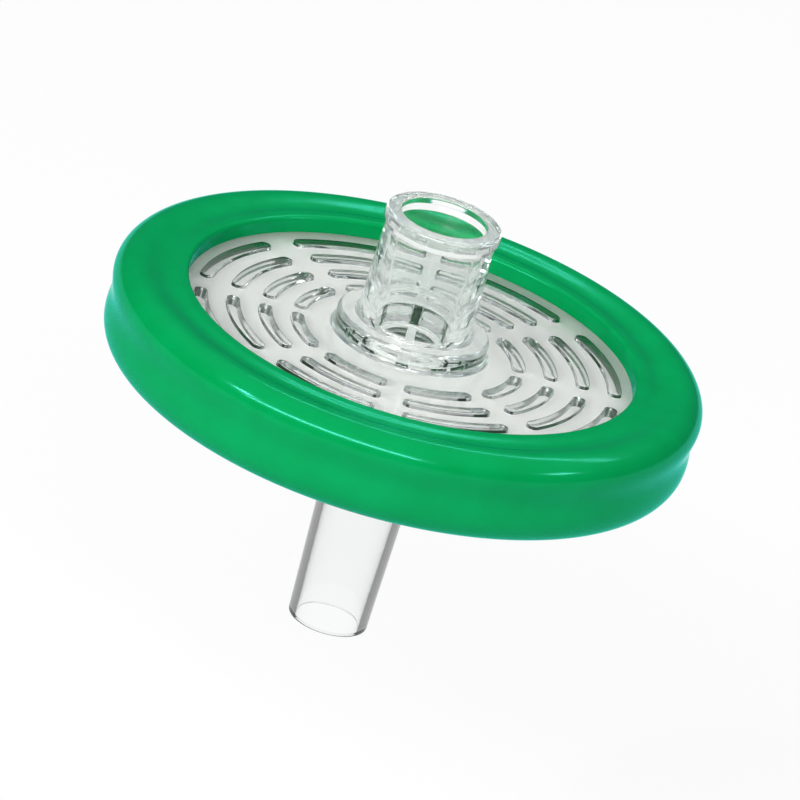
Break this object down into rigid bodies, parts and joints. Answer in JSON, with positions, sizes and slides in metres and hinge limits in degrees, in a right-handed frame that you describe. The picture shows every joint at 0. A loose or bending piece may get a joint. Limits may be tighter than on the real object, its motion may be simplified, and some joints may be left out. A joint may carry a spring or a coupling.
{
  "type": "syringe filter",
  "caption": "Disc filter with a Luer socket on top and a Luer tip below, sealed round its rim by a moulded ring.",
  "frame": {"origin": "centre of the inlet socket's mouth", "axes": "+Z along the flow axis, out of the inlet socket and towards the syringe; the outlet tip points along -Z; +X passes through the middle of a slot gap of the inlet plate"},
  "size_m": [0.0295, 0.0294, 0.0221],
  "materials": {
    "clear_housing": "clear moulded plastic with a faint grey-green tint, polished",
    "prefilter": "matt white glass-fibre mat",
    "membrane": "matt white porous sheet",
    "ring": "glossy green moulded plastic"
  },
  "bodies": {
    "root": {"inlet_housing": "clear_housing", "prefilter": "prefilter", "membrane": "membrane", "overmould_ring": "ring", "outlet_housing": "clear_housing"}
  },
  "joints": []
}
